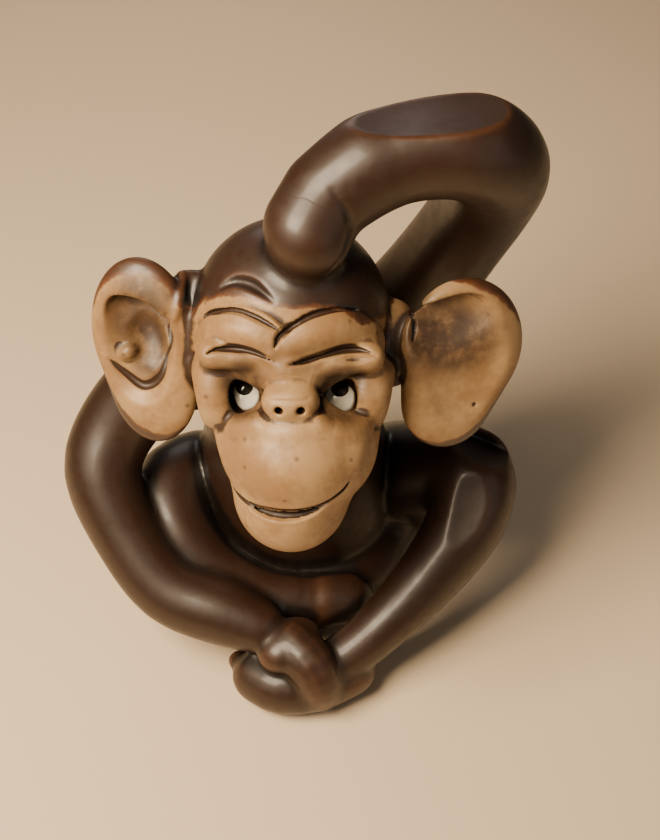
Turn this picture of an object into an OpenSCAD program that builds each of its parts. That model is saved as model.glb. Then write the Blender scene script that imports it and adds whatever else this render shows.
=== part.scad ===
// Seated ceramic monkey figurine, one arm looped over its head.
// Frame: +Z up, the face looks towards -Y, the monkey's own left hand is at +X.
// The origin is the middle of the flat base of the torso.

/* [Torso] */
// Height of the torso shell up to the root of the neck
torso_h = 52; // [50:1:54]
// Largest radius of the belly
belly_r = 17.8; // [17:0.2:18.6]
// Radius of the spread seat
seat_r = 21.8; // [21:0.2:22.4]
// Wall of the hollow torso
torso_wall = 4; // [3:0.5:5]
// Radius of the firing vent in the base
vent_r = 3; // [2:0.5:4]

/* [Head] */
// Radius of the cranium
head_r = 15; // [14.5:0.1:15.5]
// Wall of the hollow head
head_wall = 3.5; // [2.5:0.5:4.5]
// How far the face looks up, in degrees
head_tilt = 25; // [20:1:30]
// How far the pale face stands proud of the cranium
mask_proud = 1.2; // [0.8:0.1:1.6]
// Radius of an eyeball
eye_r = 2.4; // [2:0.1:2.7]
// Radius of a pupil bead
pupil_r = 1.3; // [1:0.1:1.6]

/* [Ears] */
// Thickness of an ear, front to back
ear_t = 6.4; // [5:0.2:7]
// Turn of each ear away from the face, in degrees
ear_turn = 15; // [10:1:20]

/* [Hidden] */
$fn = 72;

glaze = "#4b2d1c";
bare = "#c8a87f";
white = "#e9e4d8";
black = "#1a1613";

// Centre of the cranium
head_at = [0.5, -9, 69];
// The neck leaves the torso here and runs to the cranium
neck_at = [0, -1, torso_h - 8];
neck_r = 9.2;
neck_passage_r = 4;
// The vent lies behind the origin, so the origin is on solid base
vent_at = [0, 8, 0];

// Torso outline, as [radius, height]
torso_outline = [
    [belly_r - 3.3, 0], [belly_r - 0.8, 3], [belly_r, 10], [belly_r - 0.4, 20], [belly_r - 1.6, 30],
    [belly_r - 3.6, 38], [11.6, torso_h - 7], [7, torso_h]
];

// Seat outline, as [radius, height], and its middle, which lies ahead of the torso's
seat_outline = [
    [seat_r - 1.6, 0], [seat_r - 0.2, 2.2], [seat_r, 5], [seat_r - 1.2, 8], [seat_r - 4.5, 10.6], [seat_r - 9, 12]
];
seat_at = [0, -3, 0];

// Limb routes: [x, y, z, radius], from the body outwards
left_arm_route = [
    [9, 5, 42, 8], [15, 9, 46, 9], [22, 11.5, 55, 8.4], [27.5, 10.5, 67, 7.8], [31, 7, 79, 7.7],
    [31.2, 1.5, 89.5, 7.8], [26.5, -1.5, 95.5, 7.9], [19, -2.5, 95.8, 7.4], [12, -4, 94, 7],
    [6, -6.5, 90.5, 6.4]
];
right_arm_route = [
    [-10, 2, 43, 7.5], [-15, 2, 46, 8], [-22.5, 1.5, 43, 7.6], [-30.3, -2.5, 35.6, 7.2], [-33.4, -9, 29.6, 6.8],
    [-29, -17.5, 22, 6], [-22, -24.6, 16, 5.9], [-12.5, -27.8, 14, 6], [-6, -30.3, 13.2, 4.9]
];
left_leg_route = [
    [6, 6, 12, 8.5], [14, 3, 15, 9], [23.5, -1, 21, 8.7], [31.3, -7, 27.6, 8.1], [30.2, -15.4, 23.2, 7],
    [22.5, -23.8, 16.3, 5.6], [13.6, -31, 11, 4.6], [7.8, -34.2, 7.8, 4.5]
];
right_leg_route = [
    [-5, 5, 13, 7.6], [-14, 1.5, 16.5, 8.6], [-21.5, -4, 19.5, 8], [-22, -12, 18.6, 7.4],
    [-15.5, -19, 13.5, 6.4], [-6, -22.5, 10.5, 5.4], [1, -22.5, 9.5, 4.8]
];
left_foot_route = [[10, -34.5, 5.5, 4.6], [4, -36.8, 5, 5], [-2, -37, 4.8, 5.2], [-6, -35, 4.4, 4.8]];
right_foot_route = [[-1, -22.5, 9.5, 4.6], [4, -22.3, 9, 4.8], [9.5, -21.5, 8.6, 4.6]];

// Fist of the raised hand and palm of the resting hand: centre and radii, and the fingers held together
fist_at = [3.5, -10.8, 87];
fist_size = [6, 6.2, 6.6];
palm_at = [-0.5, -33.5, 12.2];
palm_size = [6, 4.6, 3.9];

mitten_route = [[0, -33.5, 12, 4.6], [3, -36.5, 11.2, 4.4], [4.6, -38.6, 8.2, 3.8], [4.6, -38.8, 5.4, 3.2]];
toe_r = 1.9;

// Places on the head, as [right, forward, up] from the middle of the cranium
muzzle_at = [1.2, 9, -17];
muzzle_size = [12.1, 14, 10.5];
jaw_at = [0.1, 9.5, -25];
jaw_size = [9, 12, 9];
right_cheek_at = [-9.8, 8.5, -8];
left_cheek_at = [11, 8.5, -9];
cheek_size = [4.2, 4.5, 6];
nose_at = [0.3, 17, -7];
nose_size = [4.2, 3, 2.9];
left_eye_at = [7.6, 12, -8];
right_eye_at = [-6.2, 11.8, -7.4];

// Each ear is an upper and a lower round run together, with a dish in its front
left_ear_at = [26.3, 2, -4.5];
left_ear_upper = [9.9, ear_t / 2, 11.2];
left_ear_lower = [7.6, ear_t / 2 - 0.2, 8.5];
left_ear_drop = [-2.1, 0, -8.3];
left_ear_dish = [7.6, 1.8, 9.6];
right_ear_at = [-22.6, 2, -2];
right_ear_upper = [8.4, ear_t / 2, 12];
right_ear_lower = [7.4, ear_t / 2 - 0.2, 11];
right_ear_drop = [1.3, 0, -7.5];
right_ear_dish = [5.6, 3, 8.6];
// The lug that carries each ear: its height above the ear's centre, and its radii
left_ear_lug = [0, [5.4, 3, 7.5]];
right_ear_lug = [1.5, [5, 3, 8]];

// ---- Routes and sweeps ----

function xyz(p) = [p[0], p[1], p[2]];
function unit(v) = v / norm(v);

// The point i of a route, which runs on straight past its two ends
function at(p, i) =
    i < 0 ? 2 * p[0] - p[1]
    : i >= len(p) ? 2 * p[len(p) - 1] - p[len(p) - 2]
    : p[i];

// A Catmull-Rom curve from b to c
function spline(a, b, c, d, t) =
    0.5 * (2 * b + (c - a) * t + (2 * a - 5 * b + 4 * c - d) * t * t
           + (3 * b - a - 3 * c + d) * t * t * t);

function smooth(p, steps) = [
    for (i = [0:len(p) - 2], s = [0:steps - 1])
        spline(at(p, i - 1), p[i], p[i + 1], at(p, i + 2), s / steps),
    p[len(p) - 1]
];

function heading(p, i) = unit(xyz(at(p, i + 1)) - xyz(at(p, i - 1)));
function across(v, along) = unit(v - (v * along) * along);

// One sideways direction for each point, carried along without twist
function carried(p, i = 0, done = []) =
    i == len(p) ? done
    : carried(p, i + 1, concat(done, [across(i == 0 ? [0.5, -0.8, 0.3] : done[i - 1], heading(p, i))]));

// A ring as [centre, heading, sideways, radius], and the rings of a round end
function ring(p, s, i, lean) =
    [xyz(p[i]) + heading(p, i) * p[i][3] * sin(lean), heading(p, i), s[i], p[i][3] * cos(lean)];

function rings(p, s) = concat(
    [for (lean = [-72:24:-24]) ring(p, s, 0, lean)],
    [for (i = [0:len(p) - 1]) ring(p, s, i, 0)],
    [for (lean = [24:24:72]) ring(p, s, len(p) - 1, lean)]
);

// A round-ended tube whose radius follows the route
module limb(route, steps = 3, sides = 16) {
    p = smooth(route, steps);
    r = rings(p, carried(p));
    n = len(r);
    last = len(p) - 1;
    first_tip = xyz(p[0]) - heading(p, 0) * p[0][3];
    last_tip = xyz(p[last]) + heading(p, last) * p[last][3];
    points = concat(
        [for (c = r, k = [0:sides - 1])
            c[0] + c[3] * (c[2] * cos(360 * k / sides) + cross(c[1], c[2]) * sin(360 * k / sides))],
        [first_tip, last_tip]
    );
    faces = concat(
        [for (j = [0:n - 2], k = [0:sides - 1])
            [j * sides + k, (j + 1) * sides + k, (j + 1) * sides + (k + 1) % sides]],
        [for (j = [0:n - 2], k = [0:sides - 1])
            [j * sides + k, (j + 1) * sides + (k + 1) % sides, j * sides + (k + 1) % sides]],
        [for (k = [0:sides - 1]) [n * sides, k, (k + 1) % sides]],
        [for (k = [0:sides - 1]) [n * sides + 1, (n - 1) * sides + (k + 1) % sides, (n - 1) * sides + k]]
    );
    polyhedron(points, faces);
}

module ellipsoid(size, facets = $fn) {
    scale(size) sphere(1, $fn = facets);
}

// Keeps only what stands above the resting plane
module above_ground() {
    intersection() {
        children();
        translate([-60, -60, 0]) cube([120, 120, 120]);
    }
}

// ---- Head frame ----

// Places a child on the head, at [right, forward, up] from the middle of the cranium
module on_head(place = [0, 0, 0]) {
    translate(head_at) rotate([-head_tilt, 0, 0]) translate([place[0], -place[1], place[2]]) children();
}

module cranium() {
    translate(head_at) sphere(head_r);
}

// A rod from the torso's neck root to the middle of the cranium
module neck_rod(r1, r2, start = neck_at) {
    run = head_at - start;
    translate(start)
        rotate([0, acos(run[2] / norm(run)), atan2(run[1], run[0])])
            cylinder(r1 = r1, r2 = r2, h = norm(run));
}

module muzzle_form() {
    on_head(muzzle_at) ellipsoid(muzzle_size);
}

module jaw_form() {
    on_head(jaw_at) ellipsoid(jaw_size);
}

module eyeball(place) {
    on_head(place) sphere(eye_r);
}

module torso_form() {
    rotate_extrude() polygon(concat([[0, 0]], smooth(torso_outline, 3), [[0, torso_h]]));
    translate(seat_at)
        rotate_extrude() polygon(concat([[0, 0]], smooth(seat_outline, 3), [[0, 12]]));
}

// The torso and neck as one solid, for what is seated against them
module trunk() {
    torso_form();
    neck_rod(neck_r, neck_r - 1);
}

// ---- Body ----

module torso_shell() {
    inside = smooth(torso_outline, 3);
    color(glaze) difference() {
        trunk();
        cranium();
        rotate_extrude() polygon(concat(
            [[0, torso_wall]],
            [for (q = inside) if (q[1] >= torso_wall && q[1] <= torso_h - torso_wall)
                [q[0] - torso_wall, q[1]]],
            [[0, torso_h - torso_wall]]
        ));
        neck_rod(neck_passage_r, neck_passage_r, [0, 0, torso_h / 2]);
        translate(vent_at - [0, 0, 1]) cylinder(r = vent_r, h = torso_wall + 2);
    }
}

module head_shell() {
    color(glaze) difference() {
        cranium();
        translate(head_at) sphere(head_r - head_wall);
        neck_rod(neck_passage_r, neck_passage_r);
    }
}

// ---- Face ----

// Front outline of the pale face: two rounded lobes over the cheeks
module mask_outline() {
    on_head() rotate([90, 0, 0]) linear_extrude(head_r + 6) {
        translate([-6.2, -1.8]) circle(7.8);
        translate([6, -2.4]) circle(8.2);
        translate([-13.2, -17]) square([27, 15.5]);
    }
}

// The thin pale sheet that the brow folds and cheeks are built on
module mask_sheet() {
    intersection() {
        translate(head_at) sphere(head_r + mask_proud);
        mask_outline();
    }
}

// One fold of the brow over an eye
module brow_fold(place, size, roll) {
    on_head(place) rotate([0, roll, 0]) ellipsoid(size);
}

module cheek(place) {
    on_head(place) ellipsoid(cheek_size);
}

module brow_mask() {
    color(bare) difference() {
        union() {
            mask_sheet();
            brow_fold([-6.8, 12.6, -1.6], [6.4, 3, 2.2], 8);
            brow_fold([6.6, 12.6, -2.4], [7, 3, 2.4], -8);
            cheek(left_cheek_at);
            cheek(right_cheek_at);
        }
        cranium();
        on_head(nose_at) ellipsoid(nose_size);
        muzzle_form();
        eyeball(left_eye_at);
        eyeball(right_eye_at);
    }
}

module muzzle() {
    color(bare) difference() {
        muzzle_form();
        cranium();
        trunk();
        eyeball(left_eye_at);
        eyeball(right_eye_at);
    }
}

module lower_jaw() {
    color(bare) difference() {
        jaw_form();
        muzzle_form();
        cranium();
        trunk();
        // The open lips
        on_head(muzzle_at + [0.2, 6.5, -6.4]) rotate([-18, 0, 0]) ellipsoid([8, 7, 0.9]);
    }
}

module nose_button() {
    nostril_r = 0.75;
    color(bare) difference() {
        on_head(nose_at) ellipsoid(nose_size);
        muzzle_form();
        cranium();
        eyeball(left_eye_at);
        eyeball(right_eye_at);
        for (side = [-1.6, 1.5])
            on_head(nose_at + [side, 1.2, -0.4]) rotate([90, 0, 0]) cylinder(r = nostril_r, h = 4);
    }
}

module eye(place) {
    color(white) difference() {
        eyeball(place);
        cranium();
    }
}

// A glaze bead on the upper front of the eyeball
module pupil(place) {
    color(black) difference() {
        on_head(place + [0, eye_r * 0.62, eye_r * 0.3]) sphere(pupil_r);
        eyeball(place);
    }
}

module left_eye() {
    eye(left_eye_at);
}

module right_eye() {
    eye(right_eye_at);
}

module left_pupil() {
    pupil(left_eye_at);
}

module right_pupil() {
    pupil(right_eye_at);
}

// ---- Ears ----

// A dished ear on the side of the head: side is 1 for the left ear, -1 for the right
module ear(place, upper, lower, drop, dish, lug, side) {
    facets = 32;
    turn = [0, 0, side * ear_turn];
    color(bare) difference() {
        union() {
            on_head(place) rotate(turn) hull() {
                ellipsoid(upper, facets);
                translate(drop) ellipsoid(lower, facets);
            }
            on_head([side * head_r, place[1] - 1.5, place[2] + lug[0]]) hull() ellipsoid(lug[1], facets);
        }
        on_head(place) rotate(turn) translate([0, -upper[1], drop[2] / 3]) hull() ellipsoid(dish, facets);
        cranium();
        cheek(left_cheek_at);
        cheek(right_cheek_at);
        mask_sheet();
    }
}

module left_ear() {
    ear(left_ear_at, left_ear_upper, left_ear_lower, left_ear_drop, left_ear_dish, left_ear_lug, 1);
}

module right_ear() {
    ear(right_ear_at, right_ear_upper, right_ear_lower, right_ear_drop, right_ear_dish, right_ear_lug, -1);
}

// ---- Arms and hands ----

module left_arm() {
    color(glaze) difference() {
        limb(left_arm_route);
        trunk();
        cranium();
    }
}

module left_hand() {
    color(glaze) difference() {
        translate(fist_at) ellipsoid(fist_size);
        limb(left_arm_route);
        cranium();
    }
}

module right_arm() {
    color(glaze) difference() {
        limb(right_arm_route);
        trunk();
    }
}

// Fingers held together as in a mitten, bent down over the ankle
module fingers() {
    limb(mitten_route, 3, 14);
}

module right_hand() {
    color(glaze) difference() {
        union() {
            translate(palm_at) rotate([0, 0, 37]) ellipsoid(palm_size);
            fingers();
        }
        limb(right_arm_route);
        limb(left_leg_route);
        limb(left_foot_route);
    }
}

// ---- Legs and feet ----

module left_leg() {
    color(glaze) above_ground() difference() {
        limb(left_leg_route);
        torso_form();
    }
}

module left_foot() {
    color(glaze) above_ground() difference() {
        union() {
            limb(left_foot_route);
            for (k = [0:3])
                translate([-6.6 - 0.9 * k, -37.4 + 2.1 * k, 2.9]) ellipsoid([2.6, toe_r, toe_r]);
        }
        limb(left_leg_route);
    }
}

module right_leg() {
    color(glaze) above_ground() difference() {
        limb(right_leg_route);
        torso_form();
        limb(right_arm_route);
    }
}

module right_foot() {
    color(glaze) above_ground() difference() {
        union() {
            limb(right_foot_route);
            for (k = [0:3])
                translate([13.2 - 0.3 * k, -24.6 + 2 * k, 7.6]) ellipsoid([2.4, toe_r - 0.2, toe_r - 0.2]);
        }
        limb(right_leg_route);
        torso_form();
    }
}

torso_shell();
head_shell();
brow_mask();
muzzle();
lower_jaw();
nose_button();
left_eye();
right_eye();
left_pupil();
right_pupil();
left_ear();
right_ear();
left_arm();
left_hand();
right_arm();
right_hand();
left_leg();
left_foot();
right_leg();
right_foot();
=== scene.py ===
"""The looks of a small seated pottery monkey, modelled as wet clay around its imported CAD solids.

Each CAD solid becomes a field of distances to its surface. The fields are softened and melted together,
worked with small tools as a potter would, and cut apart again where the CAD pieces meet. The front of the
figure looks towards -Y, and lengths inside the clay are millimetres.
"""

import logging
import math
from dataclasses import dataclass, field
from enum import Enum

import bpy
import numpy as np
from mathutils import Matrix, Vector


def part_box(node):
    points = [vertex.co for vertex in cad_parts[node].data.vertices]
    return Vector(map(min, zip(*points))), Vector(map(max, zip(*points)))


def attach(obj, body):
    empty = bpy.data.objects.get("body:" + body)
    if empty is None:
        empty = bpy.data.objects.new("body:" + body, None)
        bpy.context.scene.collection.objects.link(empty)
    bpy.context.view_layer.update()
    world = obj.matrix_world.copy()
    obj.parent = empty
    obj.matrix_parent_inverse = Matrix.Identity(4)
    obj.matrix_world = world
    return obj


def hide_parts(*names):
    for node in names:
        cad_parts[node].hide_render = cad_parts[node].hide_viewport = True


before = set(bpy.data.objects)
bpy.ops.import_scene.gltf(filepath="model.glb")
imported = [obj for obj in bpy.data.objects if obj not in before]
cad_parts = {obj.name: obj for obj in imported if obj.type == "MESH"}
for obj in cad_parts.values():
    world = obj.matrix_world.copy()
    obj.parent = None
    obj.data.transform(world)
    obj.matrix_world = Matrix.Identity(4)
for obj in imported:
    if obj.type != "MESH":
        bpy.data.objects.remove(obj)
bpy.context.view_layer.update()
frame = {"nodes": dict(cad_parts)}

import openvdb as vdb
from mathutils import Vector

log = logging.getLogger("monkey")

Array = np.ndarray
Spots = list[tuple[float, ...]]
MM = 0.001
TINY = 1e-9
LEFT = np.array([1.0, 0, 0])
BODY = "root"


class Touch(Enum):
    """What a tool does to the clay."""

    ADD = "add"
    PRESS = "press"


class Bench(Enum):
    """A stretch of the figure that is worked at one fineness; the value is its lattice step in mm."""

    BODY = 0.42
    HEAD = 0.3
    FACE = 0.2
    LAP = 0.31


# ---- Fields of distances ----


def soften(d: Array, cells: float) -> Array:
    """Blurs a block of distances, which rounds every edge.

    Args:
        d: The distances.
        cells: The spread of the blur, in cells.

    Returns:
        The blurred distances.
    """
    reach = max(1, int(math.ceil(2.6 * cells)))
    steps = np.arange(-reach, reach + 1)
    weights = np.exp(-0.5 * (steps / cells) ** 2)
    weights = (weights / weights.sum()).astype(np.float32)
    for axis in range(3):
        padded = np.pad(d, [(reach, reach) if a == axis else (0, 0) for a in range(3)], mode="edge")
        length = d.shape[axis]
        out = np.zeros_like(d)
        for k, w in enumerate(weights):
            cut = [slice(None)] * 3
            cut[axis] = slice(k, k + length)
            out += w * padded[tuple(cut)]
        d = out
    return d


def melt(a: Array, b: Array, k: float) -> Array:
    """Joins two fields with a fillet about k wide.

    Args:
        a: Distances to the first form.
        b: Distances to the second form.
        k: Width of the fillet in mm.

    Returns:
        Distances to the joined form.
    """
    h = np.clip(0.5 + 0.5 * (b - a) / k, 0, 1)
    return b * (1 - h) + a * h - k * h * (1 - h)


def smooth_curve(spots: Array, gap: float) -> Array:
    """Runs a Catmull-Rom curve through spots.

    Args:
        spots: The spots, one a row, of any number of columns.
        gap: The most that two neighbours of the result lie apart, measured in the first columns.

    Returns:
        The curve's points, the last spot among them.
    """
    ends = np.vstack([2 * spots[0] - spots[1], spots, 2 * spots[-1] - spots[-2]])
    out = []
    for a, b, c, d in zip(ends[:-3], ends[1:-2], ends[2:-1], ends[3:]):
        steps = max(1, int(math.ceil(np.linalg.norm((c - b)[:3]) / gap)))
        square = 2 * a - 5 * b + 4 * c - d
        cube = 3 * b - a - 3 * c + d
        for t in np.arange(steps) / steps:
            out.append(0.5 * (2 * b + (c - a) * t + square * t**2 + cube * t**3))
    out.append(spots[-1])
    return np.array(out)


@dataclass
class Block:
    """A box of evenly spaced distances to a surface, in mm, negative inside the clay."""

    low: Array
    step: float
    d: Array

    @classmethod
    def covering(cls, low: Array, high: Array, step: float, far: float) -> "Block":
        """Makes an empty block.

        Args:
            low: The lowest corner that it must cover, in mm.
            high: The highest corner that it must cover, in mm.
            step: The lattice step in mm.
            far: The distance to fill it with.

        Returns:
            The block.
        """
        first = np.floor(low / step).astype(int)
        last = np.ceil(high / step).astype(int)
        return cls(first, step, np.full(tuple(last - first + 1), far, np.float32))

    def part(self, low: Array, high: Array) -> tuple[slice, ...] | None:
        """Finds the cells between two corners.

        Args:
            low: The lowest corner in mm.
            high: The highest corner in mm.

        Returns:
            The slices of the cells, or None if the block has none there.
        """
        first = np.maximum(np.floor(low / self.step).astype(int) - self.low, 0)
        last = np.minimum(np.ceil(high / self.step).astype(int) - self.low + 1, self.d.shape)
        if np.any(last - first < 2):
            return None
        return tuple(slice(int(a), int(b)) for a, b in zip(first, last))

    def lattice(self, part: tuple[slice, ...]) -> list[Array]:
        """Gives the places of a part's cells in mm, as three arrays that broadcast together."""
        lines = [(np.arange(s.start, s.stop) + at) * self.step for s, at in zip(part, self.low)]
        return [a.astype(np.float32) for a in np.ix_(*lines)]

    def sample(self, points: Array, d: Array | None = None) -> Array:
        """Reads the field between its cells.

        Args:
            points: The places in mm, one a row.
            d: Another array of the same cells, or None for the block's own.

        Returns:
            One value for each place; places outside the block read the nearest cell.
        """
        d = self.d if d is None else d
        at = points / self.step - self.low
        at = np.clip(at, 0, np.array(d.shape) - 1.001)
        i = at.astype(int)
        f = (at - i).astype(np.float32)
        total = np.zeros(len(points), np.float32)
        for corner in np.ndindex(2, 2, 2):
            weight = np.prod(np.where(corner, f, 1 - f), axis=1)
            total += weight * d[tuple((i + corner).T)]
        return total

    def facing(self, points: Array) -> Array:
        """Finds the outward direction of the surface nearest each place.

        Args:
            points: The places in mm, one a row.

        Returns:
            The directions, each one long.
        """
        h = self.step
        slopes = [self.sample(points + h * e) - self.sample(points - h * e) for e in np.eye(3)]
        slope = np.stack(slopes, axis=1)
        return slope / np.maximum(np.linalg.norm(slope, axis=1, keepdims=True), 1e-6)

    def settle(self, points: Array, rounds: int = 6) -> Array:
        """Moves places onto the nearest surface.

        Args:
            points: The places in mm, one a row.
            rounds: How many steps they take.

        Returns:
            The moved places.
        """
        for _ in range(rounds):
            points = points - self.sample(points)[:, None] * self.facing(points)
        return points


# ---- Tools ----


@dataclass(frozen=True)
class Rope:
    """A round-ended rope of clay, or the groove that one leaves."""

    line: Array
    radii: Array

    def box(self) -> tuple[Array, Array]:
        """Gives the lowest and highest corner of the tool."""
        r = self.radii[:, None]
        return (self.line - r).min(axis=0), (self.line + r).max(axis=0)

    def distance(self, x: Array, y: Array, z: Array) -> Array:
        """Measures from each place to the rope's surface.

        Args:
            x: The places along the first axis in mm; the three broadcast together.
            y: The places along the second axis.
            z: The places along the third axis.

        Returns:
            The distances in mm, negative inside.
        """
        best = None
        for a, b, ra, rb in zip(self.line[:-1], self.line[1:], self.radii[:-1], self.radii[1:]):
            u = b - a
            dx, dy, dz = x - a[0], y - a[1], z - a[2]
            t = np.clip((dx * u[0] + dy * u[1] + dz * u[2]) / max(float(u @ u), TINY), 0, 1)
            gap = np.sqrt((dx - t * u[0]) ** 2 + (dy - t * u[1]) ** 2 + (dz - t * u[2]) ** 2)
            gap -= ra + (rb - ra) * t
            best = gap if best is None else np.minimum(best, gap)
        return best


@dataclass(frozen=True)
class Egg:
    """An egg-shaped tool: its centre, its three radii and the directions of those radii."""

    centre: Array
    radii: Array
    axes: Array = field(default_factory=lambda: np.eye(3))

    def box(self) -> tuple[Array, Array]:
        """Gives the lowest and highest corner of the tool."""
        half = np.linalg.norm(self.axes * self.radii[:, None], axis=0)
        return self.centre - half, self.centre + half

    def distance(self, x: Array, y: Array, z: Array) -> Array:
        """Measures from each place to the egg's surface.

        Args:
            x: The places along the first axis in mm; the three broadcast together.
            y: The places along the second axis.
            z: The places along the third axis.

        Returns:
            The distances in mm, about right near the egg.
        """
        scaled, steep = 0.0, 0.0
        dx, dy, dz = x - self.centre[0], y - self.centre[1], z - self.centre[2]
        for axis, r in zip(self.axes, self.radii):
            along = dx * axis[0] + dy * axis[1] + dz * axis[2]
            scaled = scaled + (along / r) ** 2
            steep = steep + (along / r**2) ** 2
        scaled = np.sqrt(scaled)
        return scaled * (scaled - 1) / np.maximum(np.sqrt(steep), 1e-4)


@dataclass(frozen=True)
class Blade:
    """A nearly flat blade: a large round form that only bites near a line on the clay."""

    form: Rope
    near: Rope

    def box(self) -> tuple[Array, Array]:
        """Gives the lowest and highest corner of the tool."""
        return self.near.box()

    def distance(self, x: Array, y: Array, z: Array) -> Array:
        """Gives the distance from each place to the blade's bite."""
        return np.maximum(self.form.distance(x, y, z), self.near.distance(x, y, z))


@dataclass(frozen=True)
class Board:
    """A ruler held square to the upturned face: mm to the monkey's left, and mm up the face."""

    AHEAD = 30
    STRIDES = 90
    CAUTION = 0.85

    centre: Array
    pitch: float = 50.0

    @property
    def up(self) -> Array:
        """The direction up the face."""
        e = math.radians(self.pitch)
        return np.array([0, math.sin(e), math.cos(e)])

    @property
    def inward(self) -> Array:
        """The direction into the face."""
        e = math.radians(self.pitch)
        return np.array([0, math.cos(e), -math.sin(e)])

    def axes(self, turn: float = 0.0) -> Array:
        """Gives the directions left, up the face and out of it.

        Args:
            turn: How far they are turned about the last, in degrees.

        Returns:
            The three directions, one a row.
        """
        t = math.radians(turn)
        across = LEFT * math.cos(t) + self.up * math.sin(t)
        upward = self.up * math.cos(t) - LEFT * math.sin(t)
        return np.array([across, upward, -self.inward])

    def read(self, points: Array) -> Array:
        """Gives the board's two readings for each place."""
        away = points - self.centre
        return np.stack([away[:, 0], away @ self.up], axis=1)

    def touch(self, block: Block, marks: Array) -> Array:
        """Finds where lines square to the board meet the clay.

        Args:
            block: The clay.
            marks: The board's two readings, one pair a row.

        Returns:
            The places on the clay in mm.
        """
        start = self.centre + marks[:, :1] * LEFT + marks[:, 1:2] * self.up - self.AHEAD * self.inward
        run = np.zeros(len(marks))
        for _ in range(self.STRIDES):
            run += np.clip(self.CAUTION * block.sample(start + run[:, None] * self.inward), -0.5, 2.0)
        return start + run[:, None] * self.inward


@dataclass(frozen=True)
class Outline:
    """A closed shape on the board, drawn through a few spots."""

    GAP = 0.7

    spots: tuple[tuple[float, float], ...]

    def inside(self, marks: Array) -> Array:
        """Gives how far inside the outline each mark lies.

        Args:
            marks: The board's two readings, one pair a row.

        Returns:
            The distances in mm, negative outside.
        """
        ring = np.array(self.spots + self.spots[:3], float)
        line = smooth_curve(ring, self.GAP)
        start = np.argmin(np.linalg.norm(line - ring[1], axis=1))
        stop = len(line) - 1 - np.argmin(np.linalg.norm(line[::-1] - ring[-2], axis=1))
        line = line[start : stop + 1]
        best = np.full(len(marks), 1e9)
        odd = np.zeros(len(marks), bool)
        x, y = marks[:, 0], marks[:, 1]
        for a, b in zip(line, np.roll(line, -1, axis=0)):
            u = b - a
            t = np.clip(((x - a[0]) * u[0] + (y - a[1]) * u[1]) / max(float(u @ u), TINY), 0, 1)
            best = np.minimum(best, np.hypot(x - a[0] - t * u[0], y - a[1] - t * u[1]))
            crossing = (a[1] > y) != (b[1] > y)
            if u[1] != 0:
                odd ^= crossing & (x < a[0] + (y - a[1]) * u[0] / u[1])
        return np.where(odd, best, -best)


# ---- The clay ----


@dataclass(frozen=True)
class Lump:
    """How one CAD solid goes into the clay: how far it is softened, and how wide its fillet is, in mm."""

    node: str
    soft: float
    fillet: float


LUMPS = (
    Lump("torso_shell", 1.0, 0.5),
    Lump("head_shell", 0.5, 1.2),
    Lump("right_leg", 1.2, 1.6),
    Lump("left_leg", 1.2, 1.6),
    Lump("right_foot", 0.6, 1.2),
    Lump("left_foot", 0.6, 1.2),
    Lump("right_arm", 1.3, 2.2),
    Lump("left_arm", 1.3, 2.2),
    Lump("right_hand", 0.45, 1.4),
    Lump("left_hand", 0.7, 2.6),
    Lump("brow_mask", 0.5, 0.6),
    Lump("right_ear", 0.6, 1.4),
    Lump("left_ear", 0.6, 1.4),
    Lump("muzzle", 0.5, 0.6),
    Lump("lower_jaw", 0.5, 2.2),
    Lump("nose_button", 0.3, 0.8),
)

BENCH_NODES = {
    Bench.HEAD: (
        "head_shell", "brow_mask", "muzzle", "lower_jaw", "nose_button",
        "left_ear", "right_ear", "left_hand",
    ),
    Bench.FACE: ("brow_mask", "muzzle", "lower_jaw", "nose_button"),
    Bench.LAP: ("right_hand", "left_foot", "right_foot"),
}


def cad_surface(node: str) -> tuple[Array, Array]:
    """Reads a CAD solid.

    Args:
        node: The name of its node.

    Returns:
        Its corners in mm, one a row, and its triangles.
    """
    mesh = frame["nodes"][node].data
    corners = np.zeros(len(mesh.vertices) * 3, np.float32)
    mesh.vertices.foreach_get("co", corners)
    mesh.calc_loop_triangles()
    triangles = np.zeros(len(mesh.loop_triangles) * 3, np.int32)
    mesh.loop_triangles.foreach_get("vertices", triangles)
    return corners.reshape(-1, 3) / np.float32(MM), triangles.reshape(-1, 3).astype(np.uint32)


def cad_box(*nodes: str) -> tuple[Array, Array]:
    """Measures some CAD solids together.

    Args:
        nodes: The names of their nodes.

    Returns:
        The lowest and the highest corner in mm.
    """
    boxes = [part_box(n) for n in nodes]
    low = np.min([np.array(b[0]) for b in boxes], axis=0)
    high = np.max([np.array(b[1]) for b in boxes], axis=0)
    return low / MM, high / MM


def cad_middle(node: str) -> Array:
    """Gives the middle of a CAD solid's box in mm."""
    low, high = cad_box(node)
    return (low + high) / 2


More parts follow.
